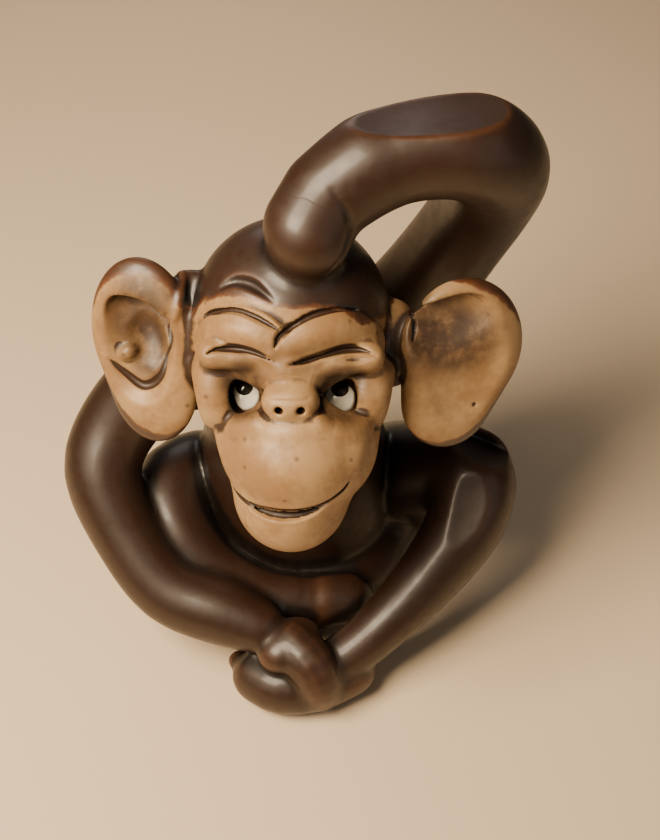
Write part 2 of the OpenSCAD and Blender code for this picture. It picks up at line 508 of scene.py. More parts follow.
class Clay:
    """The whole figure as clay, held on four benches that overlap."""

    BAND = 14
    SWELL = 0.1
    MARGIN = 3.0
    GAP = 0.8
    THINNEST = 0.05
    JOIN_BLUR = 0.8
    JOIN_DIP = 0.3

    def __init__(self) -> None:
        """Melts the CAD solids together on every bench."""
        self.blocks: dict[Bench, Block] = {}
        self.shares: dict[Bench, dict[str, tuple[tuple[slice, ...], Array]]] = {}
        coarser = 1.0
        for bench in Bench:
            low, high = cad_box(*BENCH_NODES.get(bench, frame["nodes"]))
            step = bench.value * coarser
            block = Block.covering(low - self.MARGIN, high + self.MARGIN, step, self.BAND * step)
            self.blocks[bench] = block
            self.shares[bench] = {}
            for lump in LUMPS:
                self._melt_in(bench, lump)

    def _melt_in(self, bench: Bench, lump: Lump) -> None:
        """Adds one CAD solid to one bench.

        Args:
            bench: The bench.
            lump: The solid, and how it goes in.
        """
        block = self.blocks[bench]
        low, high = cad_box(lump.node)
        reach = self.BAND * block.step
        part = block.part(low - reach, high + reach)
        if part is None:
            return
        corners, triangles = cad_surface(lump.node)
        scale = vdb.createLinearTransform(voxelSize=block.step)
        grid = vdb.FloatGrid.createLevelSetFromPolygons(
            corners, triangles=triangles, transform=scale, halfWidth=self.BAND
        )
        shape = tuple(s.stop - s.start for s in part)
        raw = np.full(shape, grid.background, np.float32)
        grid.copyToArray(raw, ijk=tuple(int(s.start + at) for s, at in zip(part, block.low)))
        self.shares[bench][lump.node] = (part, raw)
        soft = soften(raw, lump.soft / block.step) - self.SWELL
        block.d[part] = melt(block.d[part], soft, lump.fillet)

    def work(self, tool: Rope | Egg | Blade, how: Touch, blend: float = 0.25) -> None:
        """Adds or presses a tool's shape on every bench.

        Args:
            tool: The tool, in place.
            how: Whether clay is added or pressed away.
            blend: Width of the fillet around the mark in mm.
        """
        low, high = tool.box()
        for block in self.blocks.values():
            reach = 1.5 * blend + 2 * block.step
            part = block.part(low - reach, high + reach)
            if part is None:
                continue
            d = tool.distance(*block.lattice(part)).astype(np.float32)
            if how is Touch.ADD:
                block.d[part] = melt(block.d[part], d, blend)
            else:
                block.d[part] = -melt(-block.d[part], d, blend)

    def draw(
        self, bench: Bench, spots: Spots, how: Touch, lift: float = 0.0, blend: float = 0.25,
        board: Board | None = None,
    ) -> None:
        """Draws a rope or a groove along the surface.

        Args:
            bench: The bench whose surface the line follows.
            spots: Places with a radius: x, y, z, radius, or with a board left, up, radius.
            how: Whether clay is added or pressed away.
            lift: How far the line's middle stands out of the surface in mm.
            blend: Width of the fillet in mm.
            board: The board that the spots are read on, if any.
        """
        block = self.blocks[bench]
        curve = smooth_curve(np.array(spots, float), self.GAP)
        radii = np.maximum(curve[:, -1], self.THINNEST)
        if board is None:
            line = block.settle(curve[:, :3])
        else:
            line = board.touch(block, curve[:, :2])
        line = line + lift * block.facing(line)
        self.work(Rope(line, radii), how, blend)

    def dab(
        self, board: Board, mark: tuple[float, float], radii: tuple[float, float, float], how: Touch,
        lift: float = 0.0, turn: float = 0.0, blend: float = 0.5,
    ) -> None:
        """Presses or adds an egg square to the board.

        Args:
            board: The board.
            mark: Where on the board.
            radii: The egg's radii to the left, up and out of the face.
            how: Whether clay is added or pressed away.
            lift: How far the egg's middle stands out of the surface in mm.
            turn: How far the egg is turned on the board in degrees.
            blend: Width of the fillet in mm.
        """
        at = board.touch(self.blocks[Bench.HEAD], np.array([mark]))[0] - lift * board.inward
        self.work(Egg(at, np.array(radii), board.axes(turn)), how, blend)

    def shave(
        self, bench: Bench, spots: Spots, facing: tuple[float, float, float], radius: float = 30.0,
        depth: float = 0.5, reach: float = 9.0,
    ) -> None:
        """Shaves a flat with crisp edges.

        Args:
            bench: The bench whose surface is shaved.
            spots: The places that the flat's middle line passes, each x, y, z.
            facing: The direction that the flat faces.
            radius: Radius of the hollow that stands for the flat, in mm.
            depth: How far the middle line lies under the surface in mm.
            reach: How far from its middle line the blade may bite in mm.
        """
        out = np.array(facing, float) / np.linalg.norm(facing)
        line = self.blocks[bench].settle(np.array(spots, float))
        if len(line) == 1:
            line = np.vstack([line, line + 0.01])
        many = np.ones(len(line))
        form = Rope(line + (radius - depth) * out, radius * many)
        self.work(Blade(form, Rope(line, reach * many)), Touch.PRESS, 0.2)

    def share(self, bench: Bench, node: str, lip: float = 0.5) -> tuple[tuple[slice, ...], Array]:
        """Cuts out the clay that belongs to one CAD node.

        Args:
            bench: The bench to cut it on.
            node: The node's name.
            lip: How far the piece runs on under its neighbours in mm.

        Returns:
            The cells' slices and the piece's distances.
        """
        block = self.blocks[bench]
        part, own = self.shares[bench][node]
        others = np.full(own.shape, self.BAND * block.step, np.float32)
        for name, (there, raw) in self.shares[bench].items():
            if name == node:
                continue
            first = [max(a.start, b.start) for a, b in zip(part, there)]
            last = [min(a.stop, b.stop) for a, b in zip(part, there)]
            if any(b <= a for a, b in zip(first, last)):
                continue
            here = tuple(slice(a - p.start, b - p.start) for a, b, p in zip(first, last, part))
            from_there = tuple(slice(a - p.start, b - p.start) for a, b, p in zip(first, last, there))
            others[here] = np.minimum(others[here], raw[from_there])
        beyond = soften((own - others) / 2, self.JOIN_BLUR)
        skin = block.d[part] + self.JOIN_DIP * np.clip(beyond, 0, lip)
        height = block.lattice(part)[2]
        piece = np.maximum(np.maximum(skin, beyond - lip), -height)
        return part, piece


@dataclass
class Skin:
    """A mesh in mm with its quads."""

    points: Array
    quads: Array

    @classmethod
    def around(cls, piece: Array, low: Array, step: float) -> "Skin":
        """Wraps a piece of clay.

        Args:
            piece: The piece's distances.
            low: The lattice index of its first cell.
            step: The lattice step in mm.

        Returns:
            The skin of its largest connected body and of others nearly as large.
        """
        piece = piece.copy()
        for axis in range(3):
            for end in (0, -1):
                cut = [slice(None)] * 3
                cut[axis] = end
                piece[tuple(cut)] = np.maximum(piece[tuple(cut)], 0.5 * step)
        grid = vdb.FloatGrid(float(4 * step))
        grid.copyFromArray(np.clip(piece, -4 * step, 4 * step), ijk=tuple(int(i) for i in low))
        grid.transform = vdb.createLinearTransform(voxelSize=step)
        points, quads = grid.convertToQuads(0.0)
        skin = cls(points.astype(np.float64), quads.astype(np.int64))
        skin._drop_crumbs()
        return skin

    def _drop_crumbs(self) -> None:
        """Deletes loose crumbs under a fifth of the largest body."""
        edges = np.concatenate([self.quads[:, [0, 1]], self.quads[:, [1, 2]], self.quads[:, [2, 3]]])
        label = np.arange(len(self.points))
        while True:
            least = np.minimum(label[edges[:, 0]], label[edges[:, 1]])
            new = label.copy()
            np.minimum.at(new, edges[:, 0], least)
            np.minimum.at(new, edges[:, 1], least)
            np.minimum.at(new, label[edges[:, 0]], least)
            np.minimum.at(new, label[edges[:, 1]], least)
            new = new[new]
            if np.array_equal(new, label):
                break
            label = new
        names, count = np.unique(label, return_counts=True)
        kept = np.isin(label, names[count > 0.2 * count.max()])
        number = np.cumsum(kept) - 1
        self.quads = number[self.quads[kept[self.quads[:, 0]]]]
        self.points = self.points[kept]


@dataclass
class Piece:
    """One finished piece of clay: the node that it stands for, its slot and its bench."""

    node: str
    slot: str
    bench: Bench = Bench.BODY


class Modeller:
    """Turns pieces of clay into Blender objects with their surface readings.

    The blurs, the heights that count as a full edge or swell, and the looks outward are in mm.
    """

    NARROW_BLUR, BROAD_BLUR = 0.55, 1.6
    FULL_EDGE, FULL_SWELL = 0.12, 0.5
    LOOKS = (0.8, 2.0, 3.6)

    def __init__(self, clay: Clay) -> None:
        """Readies a narrow and a broad blur of each bench.

        Args:
            clay: The finished clay.
        """
        self.clay = clay
        self.narrow = {b: soften(k.d, self.NARROW_BLUR / k.step) for b, k in clay.blocks.items()}
        self.broad = {b: soften(k.d, self.BROAD_BLUR / k.step) for b, k in clay.blocks.items()}

    def build(self, piece: Piece, bare: "BareClay", material: bpy.types.Material) -> bpy.types.Object:
        """Makes one piece of the figure.

        Args:
            piece: Which piece.
            bare: Where the clay shows bare, and where it is darkened with brown and painted shade.
            material: Its finish.

        Returns:
            The Blender object.
        """
        block = self.clay.blocks[piece.bench]
        part, distances = self.clay.share(piece.bench, piece.node)
        low = np.array([s.start for s in part]) + block.low
        skin = Skin.around(distances, low, block.step)
        own = Block(low, block.step, distances)
        skin.points = own.settle(skin.points, 1)
        made = as_object("clay_" + piece.node, skin, material)
        self._note(made, skin.points, piece, bare)
        dress(made, piece.node)
        return made

    def _note(self, made: bpy.types.Object, points: Array, piece: Piece, bare: "BareClay") -> None:
        """Writes the surface readings that the finishes use.

        Args:
            made: The Blender object.
            points: Its points in mm.
            piece: Which piece it is.
            bare: Where the clay shows bare, and where it is darkened with brown and painted shade.
        """
        block = self.clay.blocks[piece.bench]
        edge = block.sample(points, self.narrow[piece.bench]) / self.FULL_EDGE
        swell = block.sample(points, self.broad[piece.bench]) / self.FULL_SWELL
        out = block.facing(points)
        # Shelter, the opposite of open air, darkens hollows in the finishes: glaze pooling and rubbed-in
        # brown, together with painted shade.
        open_air = np.zeros(len(points))
        for far in self.LOOKS:
            open_air += np.clip(block.sample(points + far * out) / far, 0, 1) / len(self.LOOKS)
        note(made, "edge", np.clip(edge, -1, 1))
        note(made, "swell", np.clip(swell, -1, 1))
        note(made, "shelter", 1 - open_air)
        note(made, "bare", bare.cover(points, out, piece.node))
        # The last reading holds the dark blots: painted shade and rubbed-in brown on the face and ears.
        note(made, "dark_blots", bare.dark_blots(points, piece.node))


def as_object(name: str, skin: Skin, material: bpy.types.Material) -> bpy.types.Object:
    """Makes a smooth Blender object from a skin.

    Args:
        name: The object's name.
        skin: The skin, in mm.
        material: Its finish.

    Returns:
        The object, in metres.
    """
    mesh = bpy.data.meshes.new(name)
    mesh.from_pydata((skin.points * MM).tolist(), [], skin.quads.tolist())
    mesh.validate()
    mesh.shade_smooth()
    mesh.materials.append(material)
    made = bpy.data.objects.new(name, mesh)
    bpy.context.scene.collection.objects.link(made)
    return made


def note(made: bpy.types.Object, name: str, values: Array) -> None:
    """Stores one number for each point of an object."""
    layer = made.data.attributes.new(name, "FLOAT", "POINT")
    layer.data.foreach_set("value", np.asarray(values, np.float32))


def dress(made: bpy.types.Object, node: str) -> None:
    """Ties an object to the frame.

    Args:
        made: The object.
        node: The CAD node that it stands for.
    """
    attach(made, BODY)
    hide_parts(node)
    log.info("%s: %d faces", made.name, len(made.data.polygons))


def ease(low: float, high: float, x: Array) -> Array:
    """Rises smoothly from 0 at low to 1 at high."""
    t = np.clip((x - low) / (high - low), 0, 1)
    return t * t * (3 - 2 * t)


@dataclass(frozen=True)
class Blot:
    """A soft round dark patch on the board: place, radii and strength."""

    left: float
    up: float
    wide: float
    tall: float
    strength: float

    def over(self, marks: Array) -> Array:
        """Gives the stain's strength at each mark."""
        r = np.hypot((marks[:, 0] - self.left) / self.wide, (marks[:, 1] - self.up) / self.tall)
        return self.strength * ease(1.25, 0.45, r)


# Dark patches on the pale clay. At the eye sockets, across the brow and under the eyes they are painted
# shade; in the ear hollows and at the ear roots they are rubbed-in brown deepened with painted shade; the
# patch at the top of the right ear is brown; the one on the nose darkens its foot.
BLOTS = {
    "right_ear": (
        Blot(-22.8, -0.5, 6.0, 7.5, 0.85), Blot(-21.8, -4.5, 3.8, 6.2, 0.98), Blot(-19, 4, 4, 4, 0.7),
    ),
    "left_ear": (Blot(24.0, -3.5, 9.0, 6.5, 0.98), Blot(19.5, -3.0, 3.5, 8.0, 0.85)),
    "brow_mask": (
        Blot(-6.8, -10.6, 4.2, 3.6, 0.95), Blot(7.8, -11.0, 4.4, 3.6, 0.95), Blot(0, -7.5, 14, 2.6, 0.3),
    ),
    "muzzle": (Blot(-6.8, -14.4, 3.6, 2.6, 0.8), Blot(8.0, -14.8, 4.0, 3.0, 0.8)),
    "nose_button": (Blot(0.0, -17.0, 6.0, 1.6, 0.3),),
}

BARE_EARS = {
    "right_ear": Outline((
        (-31.5, -3.0), (-30.0, 1.5), (-26.8, 4.8), (-22.0, 5.6), (-18.4, 3.8), (-16.8, 1.0), (-13.0, -1.0),
        (-11.0, -10.0), (-12.0, -21.0), (-20.0, -22.0), (-29.0, -16.0),
    )),
    "left_ear": Outline((
        (15.5, 1.4), (19.0, 3.6), (24.0, 4.6), (29.3, 3.1), (32.5, 1.3), (34.9, -1.2), (38.0, -6.0),
        (37.0, -14.0), (29.0, -22.0), (18.0, -22.0), (15.0, -12.0),
    )),
}


@dataclass(frozen=True)
class BareClay:
    """Which parts of the head stay unglazed, and where the clay is darkened with brown and painted shade;
    lengths are in mm.
    """

    DEEP = 3.0
    EAR_REACH = 1.5
    EAR_TILT = 2.5

    board: Board
    face: Outline
    ear_at: dict[str, Array]

    def cover(self, points: Array, out: Array, node: str) -> Array:
        """Gives how far inside the bare clay each point lies, up to DEEP.

        Args:
            points: The points in mm.
            out: Their outward directions.
            node: The node that they belong to.

        Returns:
            The distances, negative under glaze.
        """
        marks = self.board.read(points)
        front = -self.board.inward
        if node in ("muzzle", "lower_jaw", "nose_button"):
            return np.full(len(points), self.DEEP)
        if node in ("brow_mask", "head_shell"):
            ahead = (points - self.board.centre) @ front - self.DEEP
            return np.clip(np.minimum(self.face.inside(marks), ahead), -self.DEEP, self.DEEP)
        if node in self.ear_at:
            ahead = self.EAR_REACH + (points - self.ear_at[node]) @ front + self.EAR_TILT * (out @ front)
            return np.clip(np.minimum(ahead, BARE_EARS[node].inside(marks)), -self.DEEP, self.DEEP)
        return np.full(len(points), -self.DEEP)

    def dark_blots(self, points: Array, node: str) -> Array:
        """Gives the strength of the dark blots at each point: painted shade, with rubbed-in brown in the
        ears.

        Args:
            points: The points in mm.
            node: The node that they belong to.

        Returns:
            The strengths, 0 to 1.
        """
        marks = self.board.read(points)
        total = np.zeros(len(points))
        for blot in BLOTS.get(node, ()):
            total = np.maximum(total, blot.over(marks))
        return total


# ---- Shader groups ----


class Group:
    """A shader node group under construction."""

    def __init__(self, name: str, takes: dict[str, tuple], gives: dict[str, str]) -> None:
        """Makes the group and its sockets.

        Args:
            name: The group's name.
            takes: Each input's socket kind and default value.
            gives: Each output's socket kind.
        """
        self.tree = bpy.data.node_groups.new(name, "ShaderNodeTree")
        for label, (kind, value) in takes.items():
            socket = self.tree.interface.new_socket(label, in_out="INPUT", socket_type="NodeSocket" + kind)
            socket.default_value = value
        for label, kind in gives.items():
            self.tree.interface.new_socket(label, in_out="OUTPUT", socket_type="NodeSocket" + kind)
        self.inputs = self.tree.nodes.new("NodeGroupInput").outputs
        self.outputs = self.tree.nodes.new("NodeGroupOutput").inputs


class Wiring:
    """Short ways to add and join shader nodes in one tree."""

    def __init__(self, tree: bpy.types.NodeTree) -> None:
        """Keeps the tree."""
        self.tree = tree

    def add(self, kind: str, values: dict | None = None, **settings: object) -> bpy.types.Node:
        """Adds a node.

        Args:
            kind: The node's type, without the word ShaderNode in front.
            values: What goes into its inputs, by name or place: a number, a colour or an output.
            settings: The node's own settings.

        Returns:
            The node.
        """
        made = self.tree.nodes.new("ShaderNode" + kind)
        for key, value in settings.items():
            setattr(made, key, value)
        for key, value in (values or {}).items():
            self.feed(made.inputs[key], value)
        return made

    def feed(self, socket: bpy.types.NodeSocket, value: object) -> None:
        """Sets a socket, or links another socket into it.

        Args:
            socket: The input.
            value: A number, a colour or another node's output.
        """
        if isinstance(value, bpy.types.NodeSocket):
            self.tree.links.new(value, socket)
        else:
            socket.default_value = value

    def math(self, operation: str, a: object, b: object = 0.5, clamp: bool = False) -> bpy.types.NodeSocket:
        """Adds a sum of two values and gives its result."""
        return self.add("Math", {0: a, 1: b}, operation=operation, use_clamp=clamp).outputs[0]

    def ramp(
        self, value: object, low: float, high: float, to_low: float = 0.0, to_high: float = 1.0
    ) -> bpy.types.NodeSocket:
        """Maps a value from one range to another, smoothly, and gives the result."""
        values = {"Value": value, "From Min": low, "From Max": high, "To Min": to_low, "To Max": to_high}
        return self.add("MapRange", values, interpolation_type="SMOOTHSTEP").outputs[0]

    def mix(self, share: object, a: object, b: object, blend: str = "MIX") -> bpy.types.NodeSocket:
        """Mixes two colours.

        Args:
            share: How much of the second colour shows.
            a: The first colour.
            b: The second colour.
            blend: The way they are mixed.

        Returns:
            The mixed colour.
        """
        node = self.add("Mix", data_type="RGBA", blend_type=blend)
        self.feed(node.inputs[0], share)
        self.feed(node.inputs[6], a)
        self.feed(node.inputs[7], b)
        return node.outputs[2]

    def noise(
        self, scale: float, detail: float = 2.0, roughness: float = 0.5, shift: float = 0.0
    ) -> bpy.types.NodeSocket:
        """Adds soft noise fixed to the object.

        Args:
            scale: How fine it is.
            detail: How many finer layers lie on it.
            roughness: How strong those layers are.
            shift: How far it is moved, so that two noises differ.

        Returns:
            Its value.
        """
        place = self.add("TexCoord").outputs["Object"]
        if shift:
            place = self.add("VectorMath", {0: place, 1: (shift, shift, shift)}, operation="ADD").outputs[0]
        values = {"Vector": place, "Scale": scale, "Detail": detail, "Roughness": roughness}
        return self.add("TexNoise", values).outputs[0]

    def reading(self, name: str) -> bpy.types.NodeSocket:
        """Gives one of the surface readings."""
        return self.add("Attribute", attribute_name=name).outputs["Fac"]


def treacle_group() -> bpy.types.NodeTree:
    """Builds the group for a dark glaze that breaks amber on edges and goes dark in hollows, partly as glaze
    pooling and partly as painted shade.

    Returns:
        The group.
    """
    colours = {
        "Darkest": ("Color", (0.006, 0.0028, 0.0015, 1)),
        "Body": ("Color", (0.024, 0.0095, 0.0042, 1)),
        "Thin": ("Color", (0.06, 0.023, 0.009, 1)),
        "Edge": ("Float", 0.0),
        "Swell": ("Float", 0.0),
        "Shelter": ("Float", 0.0),
    }
    group = Group("treacle glaze", colours, {"Color": "Color", "Roughness": "Float"})
    w = Wiring(group.tree)
    take = group.inputs
    drift = w.math("SUBTRACT", w.noise(70, 3, 0.6), 0.5)
    fleck = w.math("SUBTRACT", w.noise(600, 2, 0.5, 3.1), 0.5)
    breaking = w.math("ADD", take["Edge"], w.math("MULTIPLY", drift, 0.5))
    breaking = w.math("ADD", breaking, w.math("MULTIPLY", take["Swell"], 0.35))
    thin = w.ramp(breaking, 0.35, 1.4)
    # Hollows go dark from the shelter reading: partly glaze pooling, partly painted shade in hollows,
    # creases and gaps between parts.
    pooled_and_shaded = w.math("ADD", take["Shelter"], w.math("MULTIPLY", take["Swell"], -0.4))
    pooled_and_shaded = w.math("ADD", pooled_and_shaded, w.math("MULTIPLY", drift, 0.35))
    hollow_darkening = w.ramp(pooled_and_shaded, 0.05, 0.6)
    colour = w.mix(thin, take["Body"], take["Thin"])
    colour = w.mix(hollow_darkening, colour, take["Darkest"])
    colour = w.mix(w.ramp(fleck, 0.05, 0.2, 0.0, 0.25), colour, take["Darkest"])
    w.feed(group.outputs["Color"], colour)
    w.feed(group.outputs["Roughness"], w.ramp(w.math("ADD", drift, fleck), -0.4, 0.4, 0.4, 0.54))
    return group.tree


def biscuit_group() -> bpy.types.NodeTree:
    """Builds the group for bare clay rubbed with a thin brown colour that stays in the hollows; the same
    dark colour also paints shade in the hollows and in the dark blots.

    Returns:
        The group.
    """
    takes = {
        "Clay": ("Color", (0.36, 0.22, 0.1, 1)),
        "Warm": ("Color", (0.25, 0.135, 0.052, 1)),
        "Wash and shade": ("Color", (0.035, 0.016, 0.007, 1)),
        "Edge": ("Float", 0.0),
        "Swell": ("Float", 0.0),
        "Shelter": ("Float", 0.0),
        "Dark blots": ("Float", 0.0),
    }
    group = Group("washed biscuit", takes, {"Color": "Color", "Roughness": "Float"})
    w = Wiring(group.tree)
    take = group.inputs
    cloud = w.noise(110, 3, 0.6, 1.7)
    grain = w.noise(900, 3, 0.6, 5.3)
    streak = w.noise(330, 4, 0.65, 8.9)
    warm = w.ramp(w.math("ADD", cloud, w.math("MULTIPLY", grain, 0.3)), 0.48, 0.78)
    colour = w.mix(warm, take["Clay"], take["Warm"])
    # Hollows and creases go dark from the shelter reading: the rubbed-in brown together with painted shade.
    hollow = w.math("SUBTRACT", take["Shelter"], w.math("MULTIPLY", take["Edge"], 0.6))
    hollow = w.math("SUBTRACT", hollow, w.math("MULTIPLY", take["Swell"], 0.25))
    hollow = w.math("ADD", hollow, w.math("MULTIPLY", w.math("SUBTRACT", streak, 0.5), 0.6))
    hollow_share = w.ramp(hollow, 0.22, 0.7)
    # The dark blots: painted shade at the eyes, rubbed-in brown deepened with painted shade in the ears.
    blot_share = w.math("MULTIPLY", take["Dark blots"], w.ramp(streak, 0.25, 0.6, 0.55, 1.0))
    wash_and_shade_share = w.math("MAXIMUM", hollow_share, blot_share, clamp=True)
    colour = w.mix(wash_and_shade_share, colour, take["Wash and shade"])
    w.feed(group.outputs["Color"], colour)
    w.feed(group.outputs["Roughness"], w.ramp(w.math("ADD", cloud, grain), 0.7, 1.3, 0.46, 0.62))
    return group.tree


def speck_group() -> bpy.types.NodeTree:
    """Builds the group for sparse iron specks and pinholes.

    Returns:
        The group.
    """
    takes = {"Scale": ("Float", 700.0), "Amount": ("Float", 0.5)}
    group = Group("kiln specks", takes, {"Mask": "Float"})
    w = Wiring(group.tree)
    place = w.add("TexCoord").outputs["Object"]
    cells = w.add("TexVoronoi", {"Vector": place, "Scale": group.inputs["Scale"]})
    chosen = w.math("GREATER_THAN", w.add("SeparateColor", {0: cells.outputs["Color"]}).outputs[0], 0.86)
    spot = w.ramp(cells.outputs["Distance"], 0.28, 0.12)
    mask = w.math("MULTIPLY", w.math("MULTIPLY", spot, chosen), group.inputs["Amount"])
    w.feed(group.outputs["Mask"], mask)
    return group.tree


def ripple_group() -> bpy.types.NodeTree:
    """Builds the group for the slight unevenness that fingers and kiln leave.

    Returns:
        The group.
    """
    takes = {"Broad": ("Float", 1.0), "Fine": ("Float", 1.0)}
    group = Group("hand ripple", takes, {"Height": "Float"})
    w = Wiring(group.tree)
    broad = w.math("MULTIPLY", w.noise(160, 2, 0.5, 2.3), group.inputs["Broad"])
    fine = w.math("MULTIPLY", w.noise(1100, 2, 0.5, 6.1), group.inputs["Fine"])
    w.feed(group.outputs["Height"], w.math("ADD", broad, fine))
    return group.tree


@dataclass(frozen=True)
class Kit:
    """The shader groups that the finishes share."""

    treacle: bpy.types.NodeTree
    biscuit: bpy.types.NodeTree
    specks: bpy.types.NodeTree
    ripple: bpy.types.NodeTree

    @classmethod
    def built(cls) -> "Kit":
        """Builds every group once."""
        return cls(treacle_group(), biscuit_group(), speck_group(), ripple_group())


def start_material(name: str) -> tuple[bpy.types.Material, Wiring, bpy.types.Node]:
    """Makes a material.

    Args:
        name: Its name.

    Returns:
        The material, its wiring and its shader.
    """
    material = bpy.data.materials.new(name)
    material.use_nodes = True
    return material, Wiring(material.node_tree), material.node_tree.nodes["Principled BSDF"]


def roughen(w: Wiring, shader: bpy.types.Node, kit: Kit, fine: float, strength: float, depth: float) -> None:
    """Gives a shader the hand ripple.

    Args:
        w: The material's wiring.
        shader: Its shader.
        kit: The shared groups.
        fine: How much of the fine ripple shows.
        strength: The strength of the bump.
        depth: Its depth in metres.
    """
    ripple = w.add("Group", {"Broad": 1.0, "Fine": fine}, node_tree=kit.ripple)
    bump = w.add("Bump", {"Height": ripple.outputs["Height"], "Strength": strength, "Distance": depth})
    w.feed(shader.inputs["Normal"], bump.outputs[0])


@dataclass(frozen=True)
class PotteryFinish:
    """Treacle glaze that stops in an uneven line where the clay is left bare.

    One recipe serves the glazed and the bare pieces, so that the line can cross a join.
    """

    name: str
    coat: float
    gloss_level: float

    def build(self, kit: Kit) -> bpy.types.Material:
        """Makes the material.

        Args:
            kit: The shared groups.

        Returns:
            The material.
        """
        material, w, shader = start_material(self.name)
        readings = {n.capitalize(): w.reading(n) for n in ("edge", "swell", "shelter")}
        glaze = w.add("Group", node_tree=kit.treacle)
        biscuit = w.add("Group", node_tree=kit.biscuit)
        for label, value in readings.items():
            w.feed(glaze.inputs[label], value)
            w.feed(biscuit.inputs[label], value)
        # The dark blots, painted shade with some rubbed-in brown, darken the bare clay.
        w.feed(biscuit.inputs["Dark blots"], w.reading("dark_blots"))
        specks = w.add("Group", {"Scale": 520.0, "Amount": 0.55}, node_tree=kit.specks)
        wobble = w.math("MULTIPLY", w.math("SUBTRACT", w.noise(420, 3, 0.6, 4.4), 0.5), 1.6)
        line = w.math("ADD", w.reading("bare"), wobble)
        bare = w.ramp(line, -0.22, 0.22)
        rim = w.math("MULTIPLY", w.ramp(line, -0.9, 0.0), w.math("SUBTRACT", 1.0, bare))
        clay = w.mix(specks.outputs["Mask"], biscuit.outputs["Color"], (0.05, 0.02, 0.01, 1))
        amber = w.mix(w.math("MULTIPLY", rim, 0.6), glaze.outputs["Color"], (0.16, 0.055, 0.018, 1))
        w.feed(shader.inputs["Base Color"], w.mix(bare, amber, clay))
        rougher = w.math("SUBTRACT", biscuit.outputs["Roughness"], glaze.outputs["Roughness"])
        rough = w.math("ADD", glaze.outputs["Roughness"], w.math("MULTIPLY", bare, rougher))
        w.feed(shader.inputs["Roughness"], rough)
        w.feed(shader.inputs["Coat Weight"], w.ramp(bare, 0.0, 1.0, self.coat, 0.06))
        shader.inputs["Coat Roughness"].default_value = 0.2
        shader.inputs["Specular IOR Level"].default_value = self.gloss_level
        roughen(w, shader, kit, 0.06, 0.35, 0.0003)
        return material


@dataclass(frozen=True)
class EnamelFinish:
    """A gloss enamel of one colour, darkened with painted shade where the clay overhangs it."""

    name: str
    colour: tuple[float, float, float, float]
    # The painted shade colour, used where the clay overhangs the enamel.
    shade_colour: tuple[float, float, float, float]
    roughness: float

    def build(self, kit: Kit) -> bpy.types.Material:
        """Makes the material.

        Args:
            kit: The shared groups.

        Returns:
            The material.
        """
        material, w, shader = start_material(self.name)
        # Painted shade: the enamel takes the shade colour where the clay stands close in front of it, broken
        # up by noise.
        painted_shade = w.math("ADD", w.reading("shelter"), w.math("MULTIPLY", w.noise(900, 3, 0.6), 0.4))
        w.feed(shader.inputs["Base Color"], w.mix(w.ramp(painted_shade, 0.45, 1.1), self.colour, self.shade_colour))
        shader.inputs["Roughness"].default_value = self.roughness
        shader.inputs["Coat Weight"].default_value = 0.6
        shader.inputs["Coat Roughness"].default_value = 0.05
        roughen(w, shader, kit, 0.1, 0.25, 0.0002)
        return material


# ---- The sub-assemblies ----


